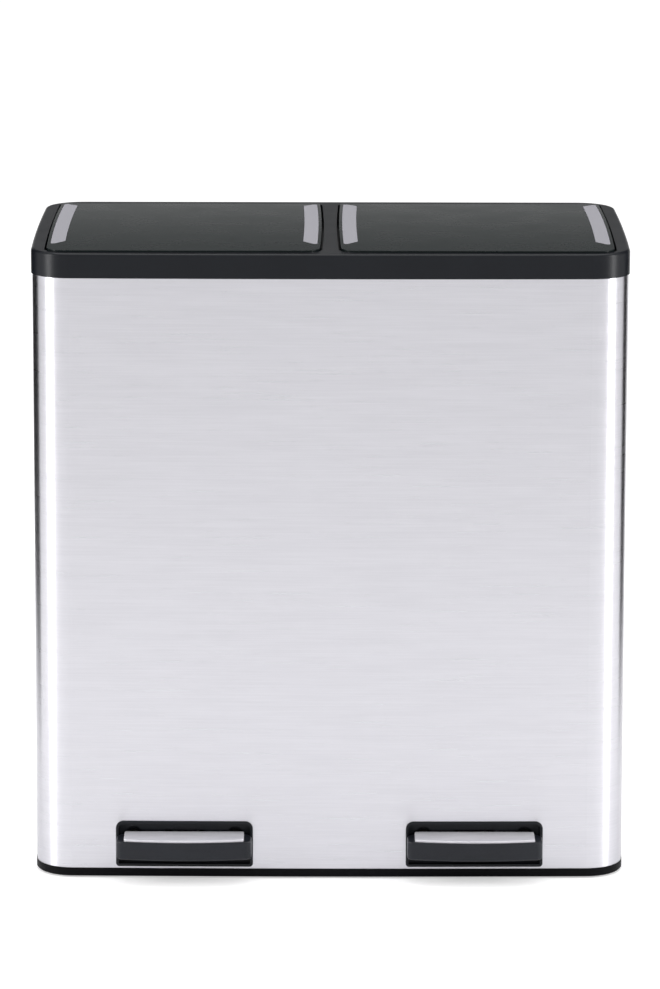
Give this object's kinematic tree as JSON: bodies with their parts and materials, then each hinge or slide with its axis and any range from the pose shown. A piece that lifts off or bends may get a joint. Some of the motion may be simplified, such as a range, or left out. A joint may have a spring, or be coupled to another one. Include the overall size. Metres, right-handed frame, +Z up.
{
  "type": "double pedal bin",
  "caption": "Double pedal recycling bin: a brushed steel case with a black collar, side-by-side lids with metal strips, lift-out buckets and a pedal linkage for each lid.",
  "frame": {"origin": "on the floor, under the middle of the whole bin, pedals included", "axes": "+Z up, -Y towards the pedals, +X to the right seen from the front"},
  "size_m": [0.5924, 0.3642, 0.6351],
  "materials": {
    "brushed_steel_sheet": "stainless sheet, fine horizontal brush, clear anti-fingerprint coat",
    "tread_steel": "stainless pressing, fine brush along its length",
    "strip_metal": "satin anodised inlay",
    "zinc_steel": "zinc-plated steel",
    "black_steel": "black-coated screw steel",
    "collar_plastic": "moulded plastic, fine satin spark texture",
    "lid_plastic": "moulded plastic, satin",
    "pedal_plastic": "moulded glass-filled plastic, satin",
    "base_plastic": "moulded plastic, matt",
    "inner_plastic": "moulded plastic, matt",
    "bucket_plastic": "moulded polypropylene, matt",
    "foot_rubber": "soft moulded rubber"
  },
  "bodies": {
    "root": {"steel_wrap": "brushed_steel_sheet", "base_tray": "base_plastic", "bucket_deck": "inner_plastic", "collar": "collar_plastic", "foot_front_left": "foot_rubber", "foot_front_right": "foot_rubber", "foot_back_left": "foot_rubber", "foot_back_right": "foot_rubber", "hinge_pins_left": "zinc_steel", "lid_bumpers_left": "foot_rubber", "bucket_left": "bucket_plastic", "pedal_surround_left": "collar_plastic", "surround_screws_left": "black_steel", "lever_axle_left": "zinc_steel", "rod_cover_left": "inner_plastic", "hinge_pins_right": "zinc_steel", "lid_bumpers_right": "foot_rubber", "bucket_right": "bucket_plastic", "pedal_surround_right": "collar_plastic", "surround_screws_right": "black_steel", "lever_axle_right": "zinc_steel", "rod_cover_right": "inner_plastic"},
    "lid_left_body": {"lid_left": "lid_plastic", "lid_strip_left_outer": "strip_metal", "lid_strip_left_inner": "strip_metal"},
    "lever_left_body": {"pedal_lever_left": "zinc_steel", "pedal_left": "pedal_plastic", "tread_plate_left": "tread_steel"},
    "rod_left_body": {"push_rod_left": "zinc_steel", "rod_clips_left": "zinc_steel"},
    "lid_right_body": {"lid_right": "lid_plastic", "lid_strip_right_outer": "strip_metal", "lid_strip_right_inner": "strip_metal"},
    "lever_right_body": {"pedal_lever_right": "zinc_steel", "pedal_right": "pedal_plastic", "tread_plate_right": "tread_steel"},
    "rod_right_body": {"push_rod_right": "zinc_steel", "rod_clips_right": "zinc_steel"}
  },
  "joints": [
    {"name": "lid_hinge_left", "type": "hinge", "parent": "root", "child": "lid_left_body", "pos_m": [-0.14458, 0.1465, 0.6243], "axis": [-1, 0, 0], "range_deg": [0, 80]},
    {"name": "pedal_hinge_left", "type": "hinge", "parent": "root", "child": "lever_left_body", "pos_m": [-0.14458, -0.0441, 0.03], "axis": [1, 0, 0], "range_deg": [0, 7.62]},
    {"name": "rod_pivot_left", "type": "hinge", "parent": "lever_left_body", "child": "rod_left_body", "pos_m": [-0.14458, 0.1325, 0.01825], "axis": [1, 0, 0], "range_deg": [-7.62, 0]},
    {"name": "lid_hinge_right", "type": "hinge", "parent": "root", "child": "lid_right_body", "pos_m": [0.14458, 0.1465, 0.6243], "axis": [-1, 0, 0], "range_deg": [0, 80]},
    {"name": "pedal_hinge_right", "type": "hinge", "parent": "root", "child": "lever_right_body", "pos_m": [0.14458, -0.0441, 0.03], "axis": [1, 0, 0], "range_deg": [0, 7.62]},
    {"name": "rod_pivot_right", "type": "hinge", "parent": "lever_right_body", "child": "rod_right_body", "pos_m": [0.14458, 0.1325, 0.01825], "axis": [1, 0, 0], "range_deg": [-7.62, 0]}
  ],
  "couplings": [
    {"joint": "pedal_hinge_left", "follows": "lid_hinge_left", "ratio": 0.095142},
    {"joint": "rod_pivot_left", "follows": "lid_hinge_left", "ratio": -0.095142},
    {"joint": "pedal_hinge_right", "follows": "lid_hinge_right", "ratio": 0.095142},
    {"joint": "rod_pivot_right", "follows": "lid_hinge_right", "ratio": -0.095142}
  ]
}
